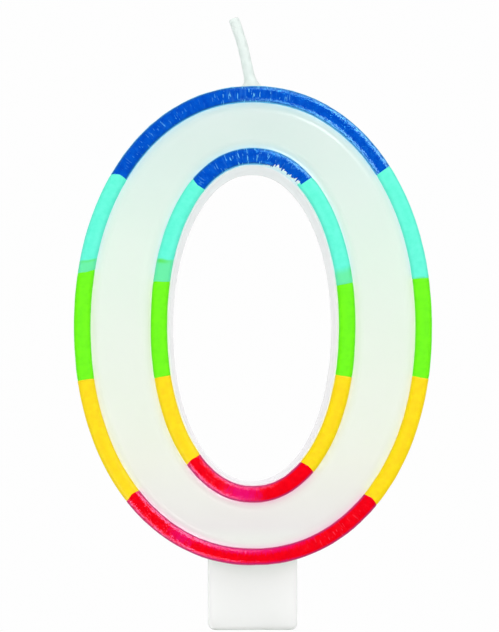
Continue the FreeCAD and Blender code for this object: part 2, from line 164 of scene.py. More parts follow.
def bump(value, centre, reach):
    """A smooth hump that is 1 at the centre and 0 beyond the reach."""
    return smooth(1 - np.abs(value - centre) / reach)


def corner_arc(centre, radius, first, last, steps):
    """Points (inset, depth) on an arc; 0 degrees points inwards and 90 degrees to the back."""
    angles = np.radians(np.linspace(first, last, steps))
    return [(centre[0] + radius * math.cos(a), centre[1] + radius * math.sin(a)) for a in angles]


def ridge_profile(width, height, shoulder, crown, steps):
    """The section of a ridge as (inset, depth), from its outer foot over the top to the inner."""
    base = PLATE_Y + SUNK
    top = PLATE_Y - height
    points = [(0.0, base)]
    points += corner_arc((shoulder, top + shoulder), shoulder, 180, 270, steps)
    flat = np.linspace(shoulder, width - shoulder, steps)[1:-1]
    points += [(x, top - crown * math.sin(math.pi * x / width)) for x in flat]
    points += corner_arc((width - shoulder, top + shoulder), shoulder, 270, 360, steps)
    points.append((width, base))
    return np.array(points)


# ---------------- the casting

WALL_ROUND = 0.35 * MM
LIP = 0.2 * MM
LIP_ROUND = 0.12 * MM
DRAFT = math.tan(math.radians(4.5))
GROOVE = 0.78 * MM
PILLOW_HEIGHT = 0.11 * MM
PILLOW_SHOULDER = 0.36 * MM
PILLOW_CROWN = 0.10 * MM
FILLET_HEIGHT = 0.12 * MM
FILLET_REACH = 0.35 * MM
BACK_HOLLOW = 0.16 * MM
COAT = 0.2 * MM
# The cast bead stops this far under its paint, and meets the face with a step of this size.
BEAD_GAP = 0.02 * MM
BEAD_SHOULDER = 0.5 * MM
STUB_HALF = 6.0 * MM
STUB_DEPTH = 5.6 * MM
STUB_FLARE = 0.3 * MM
STUB_ROUND = 0.5 * MM
STUB_FRONT = BACK_Y - STUB_DEPTH
# Heights of the loops round the foot's corners, from the top of the rounding down, and how
# much of each loop's width the next one keeps on its way to the middle of the foot.
FOOT_HEIGHTS = [height * MM for height in (0.9, 0.7, 0.5, 0.35, 0.22, 0.12, 0.05, 0.0)]
FOOT_SHARES = (0.85, 0.6, 0.3)

# How many steps the casting's mesh takes round the ring, across the stub and along its section.
RING_STEPS, STUB_STEPS = 720, 48
ROUND_STEPS, LIP_STEPS, BEAD_STEPS = 5, 4, 5
PATCH_STEPS, SIDE_STEPS, FACE_STEPS, HOLE_STEPS, BACK_STEPS = 9, 5, 41, 10, 20
FLARE_STEPS, STRAIGHT_STEPS = 7, 14
# Painted light: a painted glow in these tints of each paint lies on the wax beside its ridge,
# standing for the paint's colour showing through the wax, and it lightens the shade in the grooves.
PAINTED_GLOWS = {
    "blue": (206, 240, 255),
    "turquoise": (222, 255, 250),
    "green": (232, 255, 214),
    "yellow": (255, 253, 214),
    "red": (255, 204, 226),
}
GLOW_STRENGTH = 0.85
GLOW_REACH = 0.32 * MM
GLOW_DEPTH = 1.1 * MM
GLOW_BLEND = 0.8 * MM
# Painted light on the hole's wall: a brighter colour, tinted by height, for the light that comes
# through where the wax is thin.
LIT_WALL_TOP, LIT_WALL_FOOT = (240, 255, 252), (255, 242, 252)
WALL_LIGHT_SHARE = 0.9
WALL_FRONT, WALL_BACK = PLATE_Y + 0.15 * MM, BACK_Y - 0.1 * MM


def face_height(distance):
    """How far the pillowed face stands above the groove, at a distance from a ridge's foot."""
    fillet = FILLET_HEIGHT * (1 - smooth(distance / FILLET_REACH))
    return fillet + PILLOW_HEIGHT * smooth((distance - GROOVE) / PILLOW_SHOULDER)


def ring_angles():
    """Angles round the ring from the stub's left side, with one at each side of the stub."""
    side = math.acos(((STUB_HALF + STUB_FLARE) / OUTER.half_width) ** (POWER / 2))
    stub_first, stub_last = -math.pi + side, -side
    stub = np.linspace(stub_first, stub_last, STUB_STEPS + 1)
    rest = np.linspace(stub_last, stub_first + 2 * math.pi, RING_STEPS - STUB_STEPS + 1)
    return np.concatenate([stub, rest[1:-1]])


def upright(first, last, steps):
    """Points (inset, depth) along the outer wall between two depths, after the first."""
    return [(0.0, depth) for depth in np.linspace(first, last, steps)[1:]]


def between(first, second):
    """Where a strip starts, and the way from there to where it stops."""
    return np.array(first), np.array(second) - np.array(first)


def casting_columns(angles):
    """The section of the ring at every angle, as columns of X, depth and Z arrays.

    The section starts behind the stub's patch on the outer wall and runs to the front, over
    the face to the hole, and round the back.
    """
    columns = []

    def add(outline, points):
        for inset, depth in points:
            x, z = outline.points(angles, inset)
            columns.append((x, np.full_like(x, depth), z))

    bead = ridge_profile(
        RIDGE_WIDTH - 2 * COAT, RIDGE_HEIGHT - COAT - BEAD_GAP, BEAD_SHOULDER, 0.0, BEAD_STEPS
    ) + (COAT, 0.0)
    stub_front = BACK_Y - STUB_DEPTH - STUB_FLARE
    wall_back = BACK_Y - WALL_ROUND

    # The patch that the stub grows from: back face, back rounding and outer wall.
    add(OUTER, [(WALL_ROUND, BACK_Y)])
    add(OUTER, corner_arc((WALL_ROUND, wall_back), WALL_ROUND, 90, 180, ROUND_STEPS)[1:])
    add(OUTER, upright(wall_back, stub_front, PATCH_STEPS))
    patch_columns = len(columns)
    # The rest of the outer wall and the bead under the outer paint.
    add(OUTER, upright(stub_front, PLATE_Y + 0.1 * MM, SIDE_STEPS))
    add(OUTER, [(BEAD_GAP, PLATE_Y + BEAD_GAP)])
    add(OUTER, bead)
    add(OUTER, [(RIDGE_WIDTH - BEAD_GAP, PLATE_Y)])
    # The face between the ridges.
    start, way = between(OUTER.points(angles, RIDGE_WIDTH), INNER.points(angles))
    width = np.hypot(*way)
    for share in 0.5 - 0.5 * np.cos(np.linspace(0, math.pi, FACE_STEPS)):
        x, z = start + share * way
        nearest = np.minimum(share, 1 - share) * width
        height = face_height(nearest) + PILLOW_CROWN * math.sin(math.pi * share) ** 2
        columns.append((x, PLATE_Y - height, z))
    # The bead under the inner paint, the lip and the hole's wall.
    add(INNER, [(BEAD_GAP, PLATE_Y)])
    add(INNER, bead)
    add(INNER, [(RIDGE_WIDTH - BEAD_GAP, PLATE_Y)])
    hole = RIDGE_WIDTH + LIP
    lip = (hole - LIP_ROUND, PLATE_Y + LIP_ROUND)
    add(INNER, corner_arc(lip, LIP_ROUND, 270, 360, LIP_STEPS))
    depths = np.linspace(PLATE_Y + 0.2 * MM, wall_back, HOLE_STEPS)
    add(INNER, [(hole + (depth - PLATE_Y) * DRAFT, depth) for depth in depths])
    foot = hole + (wall_back - PLATE_Y) * DRAFT
    add(INNER, corner_arc((foot - WALL_ROUND, wall_back), WALL_ROUND, 0, 90, ROUND_STEPS)[1:])
    # The back, a little hollow where the wax shrank.
    start, way = between(INNER.points(angles, foot - WALL_ROUND), OUTER.points(angles, WALL_ROUND))
    for share in np.linspace(0, 1, BACK_STEPS + 2)[1:-1]:
        x, z = start + share * way
        hollow = BACK_HOLLOW * math.sin(math.pi * share) ** 1.5
        columns.append((x, np.full_like(x, BACK_Y - hollow), z))
    return columns, patch_columns


def stub_outline(x, y, half=STUB_HALF, front=STUB_FRONT, back=BACK_Y):
    """Moves points on a sharp rectangle onto one with rounded front corners."""
    reach_x = np.clip(x, -(half - STUB_ROUND), half - STUB_ROUND)
    reach_y = np.clip(y, front + STUB_ROUND, back)
    away_x, away_y = x - reach_x, y - reach_y
    length = np.maximum(np.hypot(away_x, away_y), 1e-9)
    outside = (np.abs(away_x) > 1e-9) | (away_y < -1e-9)
    x = np.where(outside, reach_x + away_x / length * STUB_ROUND, x)
    y = np.where(outside, reach_y + away_y / length * STUB_ROUND, y)
    return x, y


def stub_levels(ring):
    """Loops down the stub, from the ring's loop that it grows from to the middle of its foot."""
    section_x = ring[:, 0] / ((STUB_HALF + STUB_FLARE) / STUB_HALF)
    depth_share = (BACK_Y - ring[:, 1]) / (STUB_DEPTH + STUB_FLARE)
    section_y = BACK_Y - depth_share * STUB_DEPTH
    section = np.array([section_x, section_y])
    rounded = np.array(stub_outline(section_x, section_y))
    levels = []
    # In along the flare.
    for step in np.linspace(0, 1, FLARE_STEPS)[1:]:
        drop = STUB_FLARE * math.sin(step * math.pi / 2)
        spread = 1 - math.sqrt(1 - (1 - drop / STUB_FLARE) ** 2)
        flared = section + (ring[:, :2].T - section) * spread
        x, y = flared + (rounded - section) * (1 - spread)
        levels.append(np.stack([x, y, ring[:, 2] - drop], axis=1))
    # Straight down.
    top_z = levels[-1][:, 2]
    corner = FOOT_HEIGHTS[0]
    for share in np.linspace(1, 0, STRAIGHT_STEPS)[1:]:
        levels.append(np.stack([*rounded, corner + (top_z - corner) * share], axis=1))
    # Round the foot's corners, and in to its middle.
    for height in FOOT_HEIGHTS[1:]:
        side = corner - math.sqrt(corner**2 - (corner - height) ** 2)
        rise = min(height, STUB_ROUND)
        edge = STUB_ROUND - math.sqrt(STUB_ROUND**2 - (STUB_ROUND - rise) ** 2)
        half = STUB_HALF - side
        back = BACK_Y - edge * 0.4
        depth = STUB_DEPTH - edge * 1.4
        x = section_x * half / STUB_HALF
        y = back - (BACK_Y - section_y) * depth / STUB_DEPTH
        x, y = stub_outline(x, y, half, STUB_FRONT + edge, back)
        levels.append(np.stack([x, y, np.full_like(x, height)], axis=1))
    middle = np.array([0.0, BACK_Y - STUB_DEPTH / 2, 0.0])
    for share in FOOT_SHARES:
        levels.append(middle + (levels[-1] - middle) * share)
    return levels, middle


def painted_glow_colours(ridge, angles):
    """The colour of the painted glow beside the wax at every angle, blended across the joins."""
    turns = np.mod(angles, 2 * math.pi)
    fade = GLOW_BLEND / RIDGES[ridge].half_width
    total = np.zeros((len(angles), 3))
    weight = np.zeros(len(angles))
    for colour, side in COATS:
        first, last = (end[0] for end in coat_ends(ridge, colour, side))
        middle, half = (first + last) / 2, (last - first) / 2
        away = np.abs(np.mod(turns - middle + math.pi, 2 * math.pi) - math.pi)
        share = smooth((half - away) / (2 * fade) + 0.5)
        total += share[:, None] * np.array(to_linear(*PAINTED_GLOWS[colour]))
        weight += share
    return total / np.maximum(weight, 1e-6)[:, None]


def make_casting():
    """The ring as a grid, with a patch left out of it that the stub grows from."""
    angles = ring_angles()
    columns, patch_columns = casting_columns(angles)
    rows, count = len(angles), len(columns)
    grid = np.array(columns).transpose(2, 0, 1)  # rows round the ring, columns, X Y Z
    vertices = grid.reshape(-1, 3)

    def in_patch(face):
        row, column = divmod(face[0], count)
        return row < STUB_STEPS and column < patch_columns - 1

    faces = [f for f in grid_faces(rows, count, True, True) if not in_patch(f)]

    # The loop round the patch: front edge, then up one side to the back, and round again.
    front, back = patch_columns - 1, 0
    loop = [(row, front) for row in range(STUB_STEPS)]
    loop += [(STUB_STEPS, column) for column in range(front, back, -1)]
    loop += [(row, back) for row in range(STUB_STEPS, 0, -1)]
    loop += [(0, column) for column in range(back, front)]
    loop = [row * count + column for row, column in loop]
    levels, middle = stub_levels(vertices[loop])

    start, size = len(vertices), len(loop)
    vertices = np.concatenate([vertices] + levels + [middle[None, :]])
    for k in range(size):
        after = (k + 1) % size
        faces.append((loop[k], loop[after], start + after, start + k))
    faces += grid_faces(len(levels), size, close_columns=True, start=start)
    last = len(vertices) - 1
    foot = last - size
    faces += [(foot + k, foot + (k + 1) % size, last) for k in range(size)]
    casting = mesh_object("wax_casting", drifted(vertices, 3), faces)
    add_painted_glow(casting, grid, angles, len(vertices))
    return casting


def add_painted_glow(casting, grid, angles, total):
    """Stores painted light for the wax, and how strongly it is mixed in: a painted glow in the
    paint's colour beside each ridge, and a brighter colour on the hole's wall.
    """
    x, y, z = grid.transpose(2, 0, 1)
    count = grid.shape[1]
    front = np.exp(-np.maximum(y - PLATE_Y, 0.0) / GLOW_DEPTH)
    colour = np.ones(grid.shape[:2] + (3,))
    # Painted glow: the paint's tint, strongest at each edge of a ridge and fading away from it.
    strength = np.zeros(grid.shape[:2])
    for ridge, outline in RIDGES.items():
        tint = painted_glow_colours(ridge, angles)
        for inset in (0.0, RIDGE_WIDTH):
            edge_x, edge_z = outline.points(angles, inset)
            away = np.hypot(x - edge_x[:, None], z - edge_z[:, None])
            share = GLOW_STRENGTH * np.exp(-away / GLOW_REACH) * front
            stronger = share > strength
            strength = np.where(stronger, share, strength)
            colour = np.where(stronger[:, :, None], tint[:, None, :], colour)
    # Painted light: the hole's wall takes a brighter colour, cooler at the top and pinker at the
    # foot.
    column = np.arange(count)
    wall = (y > WALL_FRONT) & (y < WALL_BACK)
    wall &= (column > count // 2) & (column < count - BACK_STEPS)
    rise = smooth((z - CENTRE_Z) / INNER.half_height * 0.5 + 0.5)[:, :, None]
    tint = np.array(to_linear(*LIT_WALL_TOP)) * rise + np.array(to_linear(*LIT_WALL_FOOT)) * (1 - rise)
    colour = np.where(wall[:, :, None], tint, colour)
    strength = np.where(wall, WALL_LIGHT_SHARE, strength)
    flat = np.ones((total, 4))
    flat[: strength.size, :3] = colour.reshape(-1, 3)
    set_attribute(casting, "glow", flat, "FLOAT_COLOR", "color")
    shares = np.zeros(total)
    shares[: strength.size] = strength.reshape(-1)
    set_attribute(casting, "painted_glow_share", shares)


def drifted(vertices, seed):
    """Moves vertices a little, as hand-poured wax wanders from its mould."""
    moved = []
    for vertex in vertices:
        slow = 0.022 * MM * ripple(vertex, 7 * MM, seed)
        fine = 0.007 * MM * ripple(vertex, 1.6 * MM, seed + 1)
        moved.append((vertex[0] + slow + fine, vertex[1] + slow - fine, vertex[2] + fine))
    return moved


# ---------------- the paint

SHOULDER = 0.7 * MM
CROWN = 0.02 * MM
LAP = 0.45 * MM
ORDER = ("blue", "turquoise", "green", "yellow", "red")
GLOSSY = ("blue", "red")
COATS = [("blue", None), ("red", None)]
COATS += [(colour, side) for colour in ORDER[1:4] for side in ("left", "right")]
# A coat lies over its neighbour at these joins, and runs under it at the others.
OVER = {("blue", "turquoise"), ("turquoise", "green"), ("yellow", "green"), ("red", "yellow")}
# The coat and the end of its box, 0 for low and 1 for high, that give each join's height, in
# order from the blue end down.
CUTS = (("turquoise", 1), ("green", 1), ("green", 0), ("yellow", 0))
FINE_ROW, PLAIN_ROW = 0.10 * MM, 0.20 * MM
FEWEST_ROWS = 16
PROFILE_STEPS = 14
COAT_COLUMNS = 34
# A coat's hidden underside has one column of vertices for this many on top.
STRIDE = 3

# How each join wanders, in order from the blue end down: the upper coat grows past the cut by
# these millimetres at the outer edge, in the middle and at the inner edge of the ridge.
JOINS = {
    ("outer", "right"): ((0.0, 0.05, 0.1), (0.5, 0.4, 0.35), (0.2, 0.25, 0.2), (0.3, -0.1, 0.25)),
    ("outer", "left"): ((0.75, 0.1, 0.25), (0.65, 0.3, -0.3), (0.25, 0.25, 0.3), (0.35, 0.0, 0.2)),
    ("inner", "right"): ((0.1, 0.0, -0.15), (0.25, 0.4, 0.5), (0.2, 0.2, 0.2), (0.2, -0.05, 0.3)),
    ("inner", "left"): ((-0.15, 0.2, -0.05), (0.65, 0.5, 0.3), (0.35, 0.3, 0.3), (0.2, 0.0, 0.1)),
}

# Millimetres of each turquoise coat that lie over the end of the green one and show it
# through, and how many millimetres that mixed colour takes to fade in.
MIXED = {
    ("outer", "left"): (1.6, 0.15),
    ("inner", "left"): (2.8, 0.12),
    ("inner", "right"): (2.3, 1.2),
    ("outer", "right"): (0.25, 0.3),
}

# Green that pushed through the turquoise: middle and reach in millimetres from the coat's
# end, middle and reach across the ridge from 0 to 1, and strength.
SPURS = {
    ("outer", "left"): (1.4, 0.3, 0.6, 1.2, 0.5),
    ("inner", "left"): (2.5, 0.45, 0.3, 0.55, 1.0),
    ("inner", "right"): (1.3, 1.0, 0.04, 0.3, 1.2),
    ("outer", "right"): (0.3, 0.5, 0.04, 0.14, 0.9),
}

# Patches of finish and of painted highlight for each ridge and colour: kind, middle angle and reach
# in degrees, middle and reach across the ridge from 0 to 1, and strength.
PATCHES = {
    ("outer", "blue"): (
        ("flecks", 90, 18, 0.55, 0.9, 1.2),
        ("flecks", 124, 24, 0.6, 0.7, 0.35),
        ("gloss", 55, 42, 0.5, 2.0, 1.0),
        ("painted_highlight", 52, 38, 0.5, 2.0, 1.4),
        ("painted_highlight", 84, 16, 0.5, 2.0, 0.5),
    ),
    ("inner", "blue"): (
        ("flecks", 92, 34, 0.55, 0.9, 1.0),
        ("flecks", 132, 24, 0.5, 0.7, 0.3),
        ("gloss", 62, 44, 0.5, 2.0, 1.0),
        ("painted_highlight", 58, 36, 0.2, 0.6, 1.4),
    ),
    ("outer", "red"): (
        ("flecks", 298, 16, 0.5, 0.8, 0.12),
        ("gloss", 240, 46, 0.5, 2.0, 1.0),
        ("painted_highlight", 240, 40, 0.85, 0.9, 1.4),
        ("painted_highlight", 234, 34, 0.1, 0.4, 1.1),
        ("magenta_and_highlight", 246, 10, 0.6, 0.7, 0.9),
        ("magenta_and_highlight", 264, 50, 0.15, 0.3, 1.0),
        ("magenta_and_highlight", 268, 42, 0.82, 0.42, 1.25),
    ),
    ("inner", "red"): (
        ("gloss", 245, 50, 0.5, 2.0, 1.0),
        ("painted_highlight", 240, 38, 0.1, 0.5, 1.1),
        ("painted_highlight", 262, 34, 0.9, 0.5, 0.9),
        ("magenta_and_highlight", 264, 20, 0.5, 1.2, 1.15),
        ("magenta_and_highlight", 246, 40, 0.15, 0.3, 1.0),
        ("magenta_and_highlight", 250, 50, 0.88, 0.3, 0.8),
    ),
}
KINDS = ("flecks", "gloss", "magenta_and_highlight", "painted_highlight")


def join_number(colour, other):
    """The number of the join between two neighbours, from the blue end down."""
    return min(ORDER.index(colour), ORDER.index(other))


def cut_angle(ridge, side, join):
    """The angle of a join, from the heights of the CAD coats' boxes."""
    colour, end = CUTS[join]
    height = corners(f"{ridge}_{side}_{colour}_coat")[end].z
    return RIDGES[ridge].angle_at(height, side)


def coat_ends(ridge, colour, side):
    """The first and the last end of a coat: angle, side and neighbour's colour."""
    if side:
        place = ORDER.index(colour)
        ends = [(side, ORDER[place - 1]), (side, ORDER[place + 1])]
    else:
        other = "turquoise" if colour == "blue" else "yellow"
        ends = [("right", other), ("left", other)]
    found = []
    for end_side, other in ends:
        angle = cut_angle(ridge, end_side, join_number(colour, other))
        if (colour, end_side) == ("red", "right"):
            angle += 2 * math.pi
        found.append((angle, end_side, other))
    return sorted(found)


def ripples(places, spot, size, seed):
    """Noise along a row of places; the spot gives the noise's point for each of them."""
    return np.array([ripple(spot(place), size, seed) for place in places])


def end_line(ridge, colour, end_side, other, across, seed):
    """How far a coat's end runs past its cut, in metres, at each place across the ridge."""
    join = join_number(colour, other)
    line = np.interp(across, (0.08, 0.5, 0.92), JOINS[ridge, end_side][join]) * MM
    line += 0.06 * MM * ripples(across, lambda q: (q * 3.0, seed, 0.5), 1.0, 2)
    return line if colour == ORDER[join] else -line


def coat_limits(ridge, colour, ends, across, seed):
    """The angles where a coat starts and stops across the ridge, and which ends are hidden."""
    limits, hidden = [], []
    for number, (angle, end_side, other) in enumerate(ends):
        line = end_line(ridge, colour, end_side, other, across, seed + number)
        under = (colour, other) not in OVER
        reach = (line + (LAP if under else 0.0)) / RIDGES[ridge].travel(angle)
        limits.append(angle + reach if number else angle - reach)
        hidden.append(under)
    return limits, hidden


def section_points(section, place):
    """Inset and depth of a section at places from 0 to 1 along its length."""
    steps = np.hypot(*np.diff(section, axis=0).T)
    travel = np.concatenate([[0.0], np.cumsum(steps)]) / steps.sum()
    return np.interp(place, travel, section[:, 0]), np.interp(place, travel, section[:, 1])


def ragged_edge(ridge, colour, degrees, seed):
    """How much of a coat's section is missing at its inner edge, where the paint is ragged."""
    if (ridge, colour) != ("inner", "blue"):
        return np.zeros_like(degrees)
    ragged = smooth((86 - degrees) / 14) * smooth((degrees - 12) / 8)
    teeth = ripples(degrees, lambda d: (d * 0.5, seed, 0), 1.0, 5)
    fine = ripples(degrees, lambda d: (d * 1.7, seed, 3), 1.0, 6)
    return ragged * np.clip(0.22 + 0.16 * teeth + 0.28 * fine, 0.0, 0.36)


def end_thickness(distances, hidden):
    """Less paint under a neighbour, and a faint bead with a thin lip at a free end."""
    thick = np.ones_like(distances[0])
    for distance, under in zip(distances, hidden):
        if under:
            thick -= 0.2 * (1 - smooth((distance - LAP) / (0.5 * MM)))
        else:
            thick += 0.05 * bump(distance, 0.25 * MM, 0.25 * MM)
            thick -= 0.10 * (1 - smooth(distance / (0.08 * MM)))
    return thick


def wrinkles(travel, reach, glossy, seed):
    """A factor on the thickness at each vertex, for the creases of wax that set."""
    slow, fine = (0.13, 0.10) if glossy else (0.05, 0.02)
    factor = np.ones_like(travel)
    for at in np.ndindex(travel.shape):
        spot = (travel[at], reach[at], seed * 9)
        factor[at] += slow * ripple(spot, 1.1, 4) + fine * ripple(spot, 0.42, 8)
    return factor


def sway(travel, across, seed):
    """How far the edges of the ridge waver from side to side."""
    outer = 0.035 * MM * ripples(travel, lambda t: (t, seed, 0), 2.6, 3)
    inner = 0.035 * MM * ripples(travel, lambda t: (t, seed, 9), 2.2, 3)
    return outer[:, None] * (1 - across) ** 2 + inner[:, None] * across**2


def make_coat(ridge, colour, side=None):
    """One coat of paint: a closed shell over its bead, from one cut to the next."""
    outline = RIDGES[ridge]
    node = f"{ridge}_{side}_{colour}_coat" if side else f"{ridge}_{colour}_coat"
    seed = 1 + (ORDER.index(colour) + 5 * (ridge == "inner")) * 1.7 + (side == "left") * 0.8
    ends = coat_ends(ridge, colour, side)
    first, last = ends[0][0], ends[1][0]
    pace = float(outline.travel((first + last) / 2))
    row = PLAIN_ROW if colour in ("green", "yellow") else FINE_ROW
    rows = max(FEWEST_ROWS, int((last - first) * pace / row))
    across = np.linspace(0, 1, COAT_COLUMNS)
    share = np.linspace(0, 1, rows)[:, None]
    (starts, stops), hidden = coat_limits(ridge, colour, ends, across, seed)
    angle = starts * (1 - share) + stops * share
    degrees = np.degrees(angle)

    # The section at each row, trimmed where the paint is ragged.
    outside = ridge_profile(RIDGE_WIDTH, RIDGE_HEIGHT, SHOULDER, CROWN, PROFILE_STEPS)
    inside = ridge_profile(
        RIDGE_WIDTH - 2 * COAT, RIDGE_HEIGHT - COAT, BEAD_SHOULDER, 0.0, PROFILE_STEPS
    ) + (COAT, 0.0)
    trim = ragged_edge(ridge, colour, degrees[:, -1], seed)[:, None]
    place = across * (1 - trim)
    out_inset, out_depth = section_points(outside, place)
    in_inset, in_depth = section_points(inside, place)

    # The thickness, and the shell's upper and lower grid.
    spacing = (stops - starts) * pace
    from_start, to_stop = share * spacing, (1 - share) * spacing
    travel = (degrees - degrees.min()) * math.pi / 180 * pace / MM
    reach = across * 3.3 + np.zeros_like(travel)
    thick = end_thickness((from_start, to_stop), hidden)
    feather = smooth((1 - across) * 12) * 0.7 + 0.3
    thick *= np.where(trim > 0.02, feather, 1.0)
    thick *= wrinkles(travel, reach, colour in GLOSSY, seed)
    inset = in_inset + (out_inset - in_inset) * thick + sway(travel[:, 0], across, seed)
    depth = in_depth + (out_depth - in_depth) * thick
    x, z = outline.points(angle, inset)
    under_x, under_z = outline.points(angle, in_inset)
    top = np.stack([x, depth, z], axis=2).reshape(-1, 3)
    low = np.stack([under_x, in_depth, under_z], axis=2)[:, ::STRIDE].reshape(-1, 3)
    coat = mesh_object(f"{node}_paint", np.concatenate([top, low]), shell_faces(rows))

    values = {"along": travel, "across": reach, "edge": np.minimum(inset, RIDGE_WIDTH - inset) / MM}
    to_green = from_start if ends[0][2] == "green" else to_stop
    if colour == "turquoise":
        values["lap"] = lap_share(ridge, side, to_green, across, seed)
        values["spur"] = spur_share(ridge, side, to_green, across)
    for kind in KINDS:
        values[kind] = patch_values(ridge, colour, kind, degrees, across)
    for name, value in values.items():
        value = value + np.zeros_like(angle)
        flat = np.concatenate([value.reshape(-1), value[:, ::STRIDE].reshape(-1)])
        set_attribute(coat, name, flat)
    # The paint is thin, so it throws no shadow of its own on the wax beside it.
    coat.visible_shadow = False
    coat.visible_diffuse = False
    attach(coat, ROOT)
    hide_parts(node)
    return coat


def patch(along, across, middle, reach, side_middle, side_reach, strength):
    """A smooth hump of a strength on a ridge."""
    return bump(along, middle, reach) * bump(across, side_middle, side_reach) * strength


def lap_share(ridge, side, to_green, across, seed):
    """How much of the green coat shows through the turquoise one, from 0 to 1."""
    length, fade = MIXED[ridge, side]
    wander = 0.15 * ripples(across, lambda q: (q * 3.3, seed, 2), 1.0, 2)
    return smooth((length + wander - to_green / MM) / fade)


def spur_share(ridge, side, to_green, across):
    """Where plain green pushed through the turquoise coat, from 0 to 1."""
    return np.minimum(patch(to_green / MM, across, *SPURS[ridge, side]), 1.0)


def patch_values(ridge, colour, kind, degrees, across):
    """The strength of one kind of finish over a coat."""
    values = np.zeros_like(degrees)
    for name, *place in PATCHES.get((ridge, colour), ()):
        if name == kind:
            values = np.maximum(values, patch(degrees, across, *place))
    return values


def shell_faces(rows):
    """Faces of a shell: a fine upper grid, a coarser lower one and the strips between them."""
    columns, low_columns = COAT_COLUMNS, (COAT_COLUMNS - 1) // STRIDE + 1
    base = rows * columns
    faces = grid_faces(rows, columns)
    faces += [tuple(reversed(f)) for f in grid_faces(rows, low_columns, start=base)]
    for row, flip in ((0, False), (rows - 1, True)):
        for j in range(low_columns - 1):
            upper = [row * columns + j * STRIDE + k for k in range(STRIDE, -1, -1)]
            lower = [base + row * low_columns + j, base + row * low_columns + j + 1]
            face = upper + lower
            faces.append(tuple(reversed(face)) if flip else tuple(face))
    for i in range(rows - 1):
        first, low = i * columns, base + i * low_columns
        faces.append((first, first + columns, low + low_columns, low))
        last, low = first + columns - 1, low + low_columns - 1
        faces.append((last + columns, last, low, low + low_columns))
    return faces


# ---------------- the wick

BRAID_LOW, BRAID_HIGH = corners("wick_braid")
BRAID_RADIUS = (BRAID_HIGH.y - BRAID_LOW.y) / 2
WICK_Y = (BRAID_HIGH.y + BRAID_LOW.y) / 2
SKIN_RADIUS = BRAID_RADIUS + 0.2 * MM
WICK_LEAN = math.radians(14.8)
# The cut end is frayed and stands a little past the braid's own end.
FRAY = 0.35 * MM
TIP_X = BRAID_LOW.x + BRAID_RADIUS * math.cos(WICK_LEAN) - FRAY * math.sin(WICK_LEAN)
TIP_Z = BRAID_HIGH.z - BRAID_RADIUS * math.sin(WICK_LEAN) + FRAY * math.cos(WICK_LEAN)
TIP = Vector((TIP_X, WICK_Y, TIP_Z))
EXIT = Vector((0.0, WICK_Y, RING_TOP))
SKIN_STEPS, SKIN_SIDES = 150, 40
BRAID_SIDES = 24


def closed_tube(name, path, radius_at, sides, level_at=None):
    """A tube round a path in a plane of constant Y, closed at both ends by fans.

    Its rings lie square to the path, or level where level_at gives 1.
    """
    vertices = []
    for i, point in enumerate(path):
        direction = (path[min(i + 1, len(path) - 1)] - path[max(i - 1, 0)]).normalized()
        side = Vector((direction.z, 0, -direction.x))
        if level_at is not None:
            side = side.lerp(Vector((1, 0, 0)), level_at(i)).normalized()
        depth = Vector((0, 1, 0))
        for k in range(sides):
            turn = 2 * math.pi * k / sides
            reach = radius_at(i, turn)
            vertices.append(point + (side * math.cos(turn) + depth * math.sin(turn)) * reach)
    faces = [tuple(reversed(f)) for f in grid_faces(len(path), sides, close_columns=True)]
    first, last = len(vertices), len(vertices) + 1
    vertices += [path[0], path[-1]]
    tail = (len(path) - 1) * sides
    for k in range(sides):
        after = (k + 1) % sides
        faces.append((first, k, after))
        faces.append((last, tail + after, tail + k))
    return mesh_object(name, vertices, faces)


def bare_path(start, steps):
    """The bare wick's middle, with a slight bow, from a distance before its exit to the tip."""
    way = TIP - EXIT
    side = Vector((way.z, 0, -way.x)).normalized()
    points = []
    for share in np.linspace(-start / way.length, 1, steps):
        bow = 0.16 * MM * math.sin(math.pi * max(share, 0)) - 0.05 * MM * math.sin(7 * share)
        points.append(EXIT + way * share + side * bow)
    return points


def make_skin():
    """The wax on the bare wick, with a lumpy skin and a collar where it leaves the ring."""
    path = bare_path(0.5 * MM, SKIN_STEPS)

    def radius(i, turn):
        height = path[i].z - EXIT.z
        flare = 1.5 * MM * math.exp(-max(0.0, height) / (0.5 * MM))
        twist = height / (1.5 * MM)
        braid = 0.018 * MM * (math.sin(2 * turn + 5 * twist) + math.sin(2 * turn - 5 * twist))
        lump = 0.03 * MM * ripple((math.cos(turn), math.sin(turn), height / MM), 1.3, 9)
        tip = 1 - 0.25 * max(0.0, 1 - (TIP - path[i]).length / (0.25 * MM)) ** 2
        return (SKIN_RADIUS + braid + lump) * tip + flare

    def level(i):
        return float(smooth(1.2 - (path[i].z - EXIT.z) / (1.6 * MM)))

    skin = closed_tube("wick_skin", path, radius, SKIN_SIDES, level)
    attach(skin, ROOT)
    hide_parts("wick_wax_skin")
    return skin


def braid_path():
    """The whole wick: out of the stub, round the ring's right side and out of the top."""
    points = [Vector((1.5 * MM, WICK_Y, z * MM)) for z in (4.0, 6.0, 8.0, 9.6)]
    for degrees in range(-70, 71, 6):
        angle = math.radians(degrees)
        outer_x, outer_z = OUTER.points(np.array(angle), RIDGE_WIDTH)
        inner_x, inner_z = INNER.points(np.array(angle))
        points.append(Vector(((outer_x + inner_x) / 2, WICK_Y, (outer_z + inner_z) / 2)))
    points.append(EXIT + Vector((1.0 * MM, 0, -2.4 * MM)))
    points.append(EXIT + Vector((0.2 * MM, 0, -0.8 * MM)))
    points += bare_path(0.0, 9)
    curve = bpy.data.curves.new("wick_route", "CURVE")
    curve.dimensions = "3D"
    spline = curve.splines.new("NURBS")
    spline.points.add(len(points) - 1)
    for control, point in zip(spline.points, points):
        control.co = (*point, 1)
    spline.order_u = 3
    spline.use_endpoint_u = True
    spline.resolution_u = 12
    holder = bpy.data.objects.new("wick_route", curve)
    line = bpy.data.meshes.new_from_object(holder)
    path = [vertex.co.copy() for vertex in line.vertices]
    bpy.data.objects.remove(holder)
    bpy.data.curves.remove(curve)
    bpy.data.meshes.remove(line)
    return path


